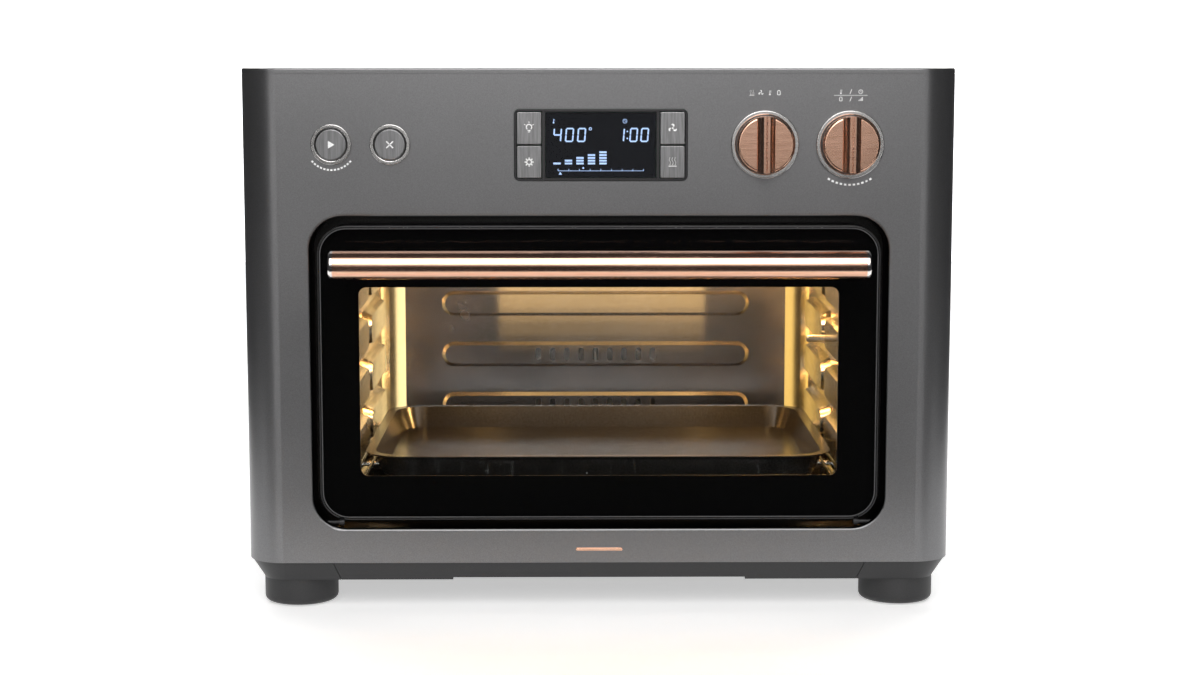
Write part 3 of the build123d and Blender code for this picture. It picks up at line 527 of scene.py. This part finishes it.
def button_print():
    """Start and stop symbols on the round buttons, and dashes under the start button."""
    symbols = (("start_button", play_symbol(), START_SYMBOL),
               ("cancel_button", cross_symbol(), CANCEL_SYMBOL))
    for node, symbol, size in symbols:
        spot = centre(node)
        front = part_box(node)[0].y
        print_on(node + "_symbol", scaled(symbol, spot.x, spot.z, size), front, node)
    spot = centre("start_button")
    marks = dashes_on_arc(spot.x, spot.z, START_ARC_R, 222, 318, count=13, length=1.3 * MM, width=1.1 * MM)
    print_on("start_marks", marks, FACE_Y, "oven_body")


def key_print():
    symbols = {"light_key": bulb_symbol(), "settings_key": gear_symbol(),
               "convection_key": fan_symbol(), "crisp_key": crisp_symbol()}
    for node, symbol in symbols.items():
        spot = centre(node)
        print_on(node + "_symbol", scaled(symbol, spot.x, spot.z, KEY_SYMBOL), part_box(node)[0].y, node)


def mode_print():
    """A row of symbols over the mode dial."""
    spot = centre("mode_knob")
    symbols = (crisp_symbol(), fan_symbol(), thermometer_symbol(), slice_symbol())
    shapes = []
    for step, symbol in enumerate(symbols):
        shapes += scaled(symbol, spot.x + (step - 1.5) * MODE_PITCH, spot.z + MODE_ROW, MODE_SYMBOL)
    print_on("mode_marks", shapes, FACE_Y, "oven_body")


def temp_print():
    """Two rows of symbols over the temperature dial, a rule between them, and dashes under the dial."""
    spot = centre("temp_knob")
    rows = ((TEMP_ROW_HIGH, (thermometer_symbol(), clock_symbol())),
            (TEMP_ROW_LOW, (slice_symbol(), shade_symbol())))
    shapes = [bar(spot.x, spot.z + TEMP_RULE, TEMP_RULE_LENGTH, TEMP_RULE_W)]
    for row, pair in rows:
        z = spot.z + row
        for side, symbol in zip((-1, 1), pair):
            shapes += scaled(symbol, spot.x + side * TEMP_SIDE, z, TEMP_SYMBOL)
        slash = [(spot.x + end * SLASH_HALF_X, z + end * SLASH_HALF_Z) for end in (-1, 1)]
        shapes += stroke(slash, SLASH_W)
    shapes += dashes_on_arc(spot.x, spot.z, TEMP_ARC_R, 239, 301, count=11, length=1.5 * MM, width=1.2 * MM)
    print_on("temp_marks", shapes, FACE_Y, "oven_body")


# ================= display =================
SEGMENTS = {"0": "abcdef", "1": "bc", "4": "fgbc"}


def seven_segment(digit, x, z, width):
    """Lit segments of one digit; x, z is its middle."""
    w, h, gap = width / 2, DIGIT_H / 2, DIGIT_LINE * 0.6
    runs = {"a": ((-w, h), (w, h)), "g": ((-w, 0), (w, 0)), "d": ((-w, -h), (w, -h)),
            "f": ((-w, h), (-w, 0)), "b": ((w, h), (w, 0)),
            "e": ((-w, 0), (-w, -h)), "c": ((w, 0), (w, -h))}
    shapes = []
    for name in SEGMENTS[digit]:
        (x0, z0), (x1, z1) = runs[name]
        length = math.hypot(x1 - x0, z1 - z0)
        ux, uz = (x1 - x0) / length, (z1 - z0) / length
        a = (x0 + ux * gap, z0 + uz * gap)
        b = (x1 - ux * gap, z1 - uz * gap)
        shapes += stroke([(x + p + SEGMENT_SLANT * q, z + q) for p, q in (a, b)], DIGIT_LINE)
    return shapes


def display_segments():
    """Digits, a row of level bars and a scale, lit behind the display's lens."""
    low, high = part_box("display_panel")
    width = high.x - low.x

    def at(u, v):
        """Place on the panel: u goes from left to right and v from the top down, both 0 to 1."""
        return low.x + u * width, high.z - v * (high.z - low.z)

    def level_bars():
        for column in range(LEVEL_COLUMNS):
            x, z = at(0.10 + 0.105 * column, LEVEL_ROW)
            for level in range(column + 1):
                yield bar(x, z - LEVEL_DROP + level * LEVEL_PITCH, LEVEL_W, LEVEL_H)

    def scale():
        """A line with ticks, a pointer under it and a dot over it."""
        yield bar(*at(0.5, SCALE_ROW), SCALE_SHARE * width, SCALE_LINE)
        for tick in range(SCALE_TICKS):
            yield bar(*at(0.11 + SCALE_SHARE * tick / (SCALE_TICKS - 1), 0.89), SCALE_LINE, SCALE_TICK)
        x, z = at(0.13, 0.94)
        yield [(x - 1.1 * MM, z - 1.0 * MM), (x + 1.1 * MM, z - 1.0 * MM), (x, z + 0.8 * MM)]
        yield disc(*at(0.34, 0.86), 0.6 * MM, 12)

    shapes = []
    for u, digit in LEFT_DIGITS:
        shapes += seven_segment(digit, *at(u, DIGIT_ROW), LEFT_DIGIT_W)
    shapes += full_ring(*at(0.405, 0.25), 0.55 * MM, 1.0 * MM)
    for u, digit in RIGHT_DIGITS:
        shapes += seven_segment(digit, *at(u, DIGIT_ROW), RIGHT_DIGIT_W)
    shapes += [disc(*at(COLON_X, v), 0.5 * MM, 12) for v in COLON_ROWS]
    shapes += scaled(thermometer_symbol(), *at(0.07, ICON_ROW), ICON_SIZE)
    shapes += scaled(clock_symbol(), *at(0.72, ICON_ROW), ICON_SIZE)
    shapes += [*level_bars(), *scale()]
    print_on("display_segments", shapes, low.y, "oven_body", LIT_SEGMENT)


# ================= door print =================
def rounded_outline(low, high, inset, radius, up_low=0.0, up_high=0.0, steps=10):
    """A box's outline from the front, drawn in by the inset, with round corners."""
    x0, x1 = low.x + inset + radius, high.x - inset - radius
    z0, z1 = low.z + inset + up_low + radius, high.z - inset + up_high - radius
    points = []
    for x, z, start in ((x1, z1, 0), (x0, z1, 90), (x0, z0, 180), (x1, z0, 270)):
        points += arc_points(x, z, radius, start, start + 90, steps)
    return points


def framed_plate(name, outer, inner, near, far, material):
    """Flat plate on the door between two outlines that have the same number of points."""
    bm = bmesh.new()
    rings = [[bm.verts.new((x, y, z)) for x, z in outline]
             for y in (near, far) for outline in (outer, inner)]
    count = len(outer)
    for a, b in ((0, 1), (1, 3), (3, 2), (2, 0)):
        for i in range(count):
            j = (i + 1) % count
            bm.faces.new((rings[a][i], rings[a][j], rings[b][j], rings[b][i]))
    flat_piece(name, bm, material, "door")


def door_print():
    """Black border on the back of the outer glass, round the window, and a painted highlight: a grey line
    on its edge, standing in for light on the glass's rounded edge.
    """
    low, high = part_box("door_outer_glass")
    pane_low, pane_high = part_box("door_inner_glass")
    outer = rounded_outline(low, high, BORDER_INSET, GLASS_CORNER_R - BORDER_INSET)
    line = rounded_outline(low, high, EDGE_LINE_INSET, GLASS_CORNER_R - EDGE_LINE_INSET)
    window = rounded_outline(pane_low, pane_high, WINDOW_INSET, WINDOW_R, WINDOW_UP_LOW, WINDOW_UP_HIGH)
    back = high.y - BORDER_GAP
    framed_plate("door_glass_print", outer, window, back - BORDER_T, back, BLACK_PRINT)
    # painted highlight: a grey line that stands in for light on the glass's edge
    framed_plate("door_edge_highlight", outer, line, low.y - EDGE_LINE_PROUD, low.y + EDGE_LINE_PROUD, EDGE_HIGHLIGHT_GREY)


# ================= soft insulation =================
def loose_boxes(mesh):
    """Lowest and highest corner of each separate solid of a mesh."""
    bm = bmesh.new()
    bm.from_mesh(mesh)
    bmesh.ops.remove_doubles(bm, verts=bm.verts, dist=1e-6)
    boxes = []
    seen = set()
    for vert in bm.verts:
        if vert in seen:
            continue
        waiting = [vert]
        points = []
        seen.add(vert)
        while waiting:
            here = waiting.pop()
            points.append(here.co)
            for edge in here.link_edges:
                other = edge.other_vert(here)
                if other not in seen:
                    seen.add(other)
                    waiting.append(other)
        low = Vector([min(p[axis] for p in points) for axis in range(3)])
        high = Vector([max(p[axis] for p in points) for axis in range(3)])
        boxes.append((low, high))
    bm.free()
    return boxes


def insulation():
    """Fibre blankets between the cavity and the casing, crowned and dented like felt."""
    bm = bmesh.new()
    for low, high in loose_boxes(NODES["insulation_blankets"].data):
        felt_slab(bm, low, high)
    piece = mesh_object("insulation_felt", bm, MATERIALS["insulation"])
    for polygon in piece.data.polygons:
        polygon.use_smooth = True
    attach(piece, "oven_body")
    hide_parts("insulation_blankets")


def felt_slab(bm, low, high):
    """Closed slab in a fine grid, drawn in at its edges and dented all over."""
    size = high - low
    cells = [max(2, round(size[i] / FELT_CELL)) for i in range(3)]
    middle = (low + high) / 2
    thin = min(range(3), key=lambda axis: size[axis])
    verts = {}

    def vert(key):
        """The grid's vertex at these cell numbers, made once."""
        if key not in verts:
            t = Vector([key[a] / cells[a] for a in range(3)])
            p = Vector([low[a] + t[a] * size[a] for a in range(3)])
            edge = 1.0
            for a in range(3):
                if a != thin:
                    edge *= min(1.0, min(t[a], 1 - t[a]) * size[a] / FELT_ROUNDING) ** 0.5
            wave = math.sin(61 * p.x + 43 * p.z)
            cross_wave = math.sin(57 * p.y - 71 * p.z + 31 * p.x)
            dent = 0.5 + 0.25 * wave + 0.25 * cross_wave
            keep = 0.62 * edge + 0.16 * dent * edge + 0.2
            p[thin] = middle[thin] + (p[thin] - middle[thin]) * min(keep, 0.98)
            verts[key] = bm.verts.new(p)
        return verts[key]

    for axis in range(3):
        a, b = [i for i in range(3) if i != axis]
        for side in (0, cells[axis]):
            for i in range(cells[a]):
                for j in range(cells[b]):
                    corners = []
                    for di, dj in ((0, 0), (1, 0), (1, 1), (0, 1)):
                        key = [0, 0, 0]
                        key[axis], key[a], key[b] = side, i + di, j + dj
                        corners.append(vert(tuple(key)))
                    bm.faces.new(corners)
    bmesh.ops.recalc_face_normals(bm, faces=bm.faces)


# ================= stage, lights, camera =================
def area_light(name, place_at, target, width, height, power, colour=STUDIO):
    data = bpy.data.lights.new(name, "AREA")
    data.shape = "RECTANGLE"
    data.size, data.size_y = width, height
    data.energy = power
    data.color = colour
    lamp = bpy.data.objects.new(name, data)
    lamp.location = place_at
    lamp.rotation_euler = (Vector(target) - Vector(place_at)).to_track_quat("-Z", "Y").to_euler()
    bpy.context.scene.collection.objects.link(lamp)


def stage_plane(name, corners, material, glossy=True, diffuse=True, shadow=True):
    """Flat part of the stage; the flags say which rays meet it."""
    mesh = bpy.data.meshes.new(name)
    mesh.from_pydata(corners, [], [(0, 1, 2, 3)])
    piece = bpy.data.objects.new(name, mesh)
    bpy.context.scene.collection.objects.link(piece)
    mesh.materials.append(material)
    piece.visible_glossy = glossy
    piece.visible_diffuse = diffuse
    piece.visible_shadow = shadow


def level_plane(name, x0, x1, y0, y1, material, **rays):
    stage_plane(name, [(x0, y0, 0), (x1, y0, 0), (x1, y1, 0), (x0, y1, 0)], material, **rays)


def upright_plane(name, start, end, material, **rays):
    """Plane that stands on the line from start to end."""
    foot = [(*start, SCREEN_LOW), (*end, SCREEN_LOW)]
    head = [(*end, SCREEN_HIGH), (*start, SCREEN_HIGH)]
    stage_plane(name, foot + head, material, **rays)


def studio_stage():
    """White sweep for the camera. Only the floor near the oven shows in its reflections."""
    floor_mat = surface("studio_floor", (0.86, 0.86, 0.86), (0.90, 0.90, 0.90), 0.7, grain=30.0, depth=0.0)
    bsdf = floor_mat.node_tree.nodes["Principled BSDF"]
    bsdf.inputs["Emission Color"].default_value = (1, 1, 1, 1)
    bsdf.inputs["Emission Strength"].default_value = 0.5
    wall_mat = glow("studio_wall", (1, 1, 1), 1.1, 0.99)
    level_plane("studio_floor", -FLOOR_HALF, FLOOR_HALF, FLOOR_FRONT, STAGE_FAR, floor_mat)
    surround = ((-STAGE_REACH, STAGE_REACH, -STAGE_REACH, FLOOR_FRONT),
                (-FLOOR_HALF, -STAGE_REACH, FLOOR_FRONT, STAGE_FAR),
                (FLOOR_HALF, STAGE_REACH, FLOOR_FRONT, STAGE_FAR))
    for i, limits in enumerate(surround):
        level_plane(f"studio_surround_{i}", *limits, floor_mat, glossy=False, shadow=False)
    left_far, right_far = (-STAGE_REACH, STAGE_FAR), (STAGE_REACH, STAGE_FAR)
    left_near, right_near = (-STAGE_REACH, -STAGE_REACH), (STAGE_REACH, -STAGE_REACH)
    upright_plane("studio_wall", left_far, right_far, wall_mat, glossy=False)
    screens = ((left_far, left_near), (left_near, right_near), (right_near, right_far))
    for i, (start, end) in enumerate(screens):
        upright_plane(f"studio_screen_{i}", start, end, wall_mat, glossy=False, diffuse=False, shadow=False)


def studio_lights():
    """Each light has its place, the point that it faces, its size in metres and its power in watts."""
    area_light("key", (0, -2.2, 1.75), (0, -0.15, 0.2), width=1.6, height=1.9, power=44)
    area_light("front_fill", (0.03, -2.7, 0.36), (0.03, -0.15, 0.36), width=1.0, height=0.5, power=0.85)
    area_light("upper_fill", (0, -2.7, 0.8), (0, -0.15, 0.33), width=1.1, height=0.5, power=4.0)
    for side, power in ((-1, 2.4), (1, 1.9)):
        area_light(f"strip_{side}", (side * 0.86, -1.95, 0.35), (side * 0.2, -0.15, 0.2),
                   width=0.16, height=1.5, power=power)
    area_light("top", (0, 0.75, 1.5), (0, 0, 0), width=2.4, height=0.7, power=16)


def dim_world():
    world = bpy.data.worlds.new("studio")
    world.use_nodes = True
    world.node_tree.nodes["Background"].inputs["Color"].default_value = WORLD_GREY
    bpy.context.scene.world = world


def cavity_lights():
    """Warm light of the lamp in the right wall, its glow on the fan cover, and fills from the roof."""
    lens = centre("lamp_lens")
    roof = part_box("cavity_roof")[0].z
    cover_low, cover_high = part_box("fan_cover")
    face = cover_low.y
    middle = (cover_low.z + cover_high.z) / 2
    area_light("lamp", (lens.x - 0.012, lens.y, lens.z), (-0.15, lens.y - 0.02, 0.12),
               width=0.03, height=0.03, power=0.9, colour=WARM)
    area_light("roof_front", (0, FACE_Y + 0.06, roof - 0.006), (0, FACE_Y + 0.17, 0.09),
               width=0.26, height=0.03, power=0.15, colour=WARM)
    area_light("back_fill", (0, FACE_Y + 0.08, roof - 0.008), (0, face, middle),
               width=0.2, height=0.03, power=0.15, colour=FILL_CREAM)
    cover_glow(face, roof - 0.034)
    wall_glow(face, roof, middle)


def cover_glow(face, top, steps=9, drop=0.011, power=0.0118):
    """The lamp's glow on the fan cover: a stack of narrow lights that fade downwards."""
    for step in range(steps):
        down = step + 0.5
        z = top - down * drop
        fade = 0.5 + 0.5 * math.cos(math.pi * down / steps)
        area_light(f"back_glow_{step}", (0.005, face - 0.02, z), (0.005, face, z),
                   width=0.16, height=drop, power=power * fade, colour=GLOW_AMBER)


def wall_glow(face, roof, middle):
    """Bright bands on the flared sides of the fan cover, and a wash down each wall."""
    band_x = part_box("cavity_wall_right")[0].x + 0.0065
    band_y = face + 0.009
    wash_y = FACE_Y + 0.15
    for side, power, blue in ((-1, 0.025, 0.36), (1, 0.017, 0.17)):
        area_light(f"band_glow_{side}", (side * band_x, band_y, middle), (0, band_y, middle),
                   width=0.016, height=0.16, power=power, colour=(1.0, 0.54 + 0.65 * blue, blue))
        area_light(f"wall_wash_{side}", (side * 0.09, wash_y, roof - 0.006), (side * 0.167, wash_y, middle),
                   width=0.2, height=0.02, power=0.26, colour=WARM)


def camera():
    data = bpy.data.cameras.new("camera")
    data.sensor_width = CAMERA_SENSOR
    data.lens = CAMERA_LENS
    eye = bpy.data.objects.new("camera", data)
    eye.location = (CAMERA_X, FACE_Y - CAMERA_BACK, TOP_Z)
    eye.rotation_euler = (math.radians(90 - CAMERA_PITCH), 0, math.radians(CAMERA_YAW))
    bpy.context.scene.collection.objects.link(eye)
    bpy.context.scene.camera = eye


bpy.context.scene.view_settings.view_transform = "Standard"
# painted shade on the jamb round the door
paint_jamb_shade()
paint_cad()
button_print()
key_print()
mode_print()
temp_print()
display_segments()
door_print()
insulation()
studio_stage()
studio_lights()
dim_world()
cavity_lights()
camera()
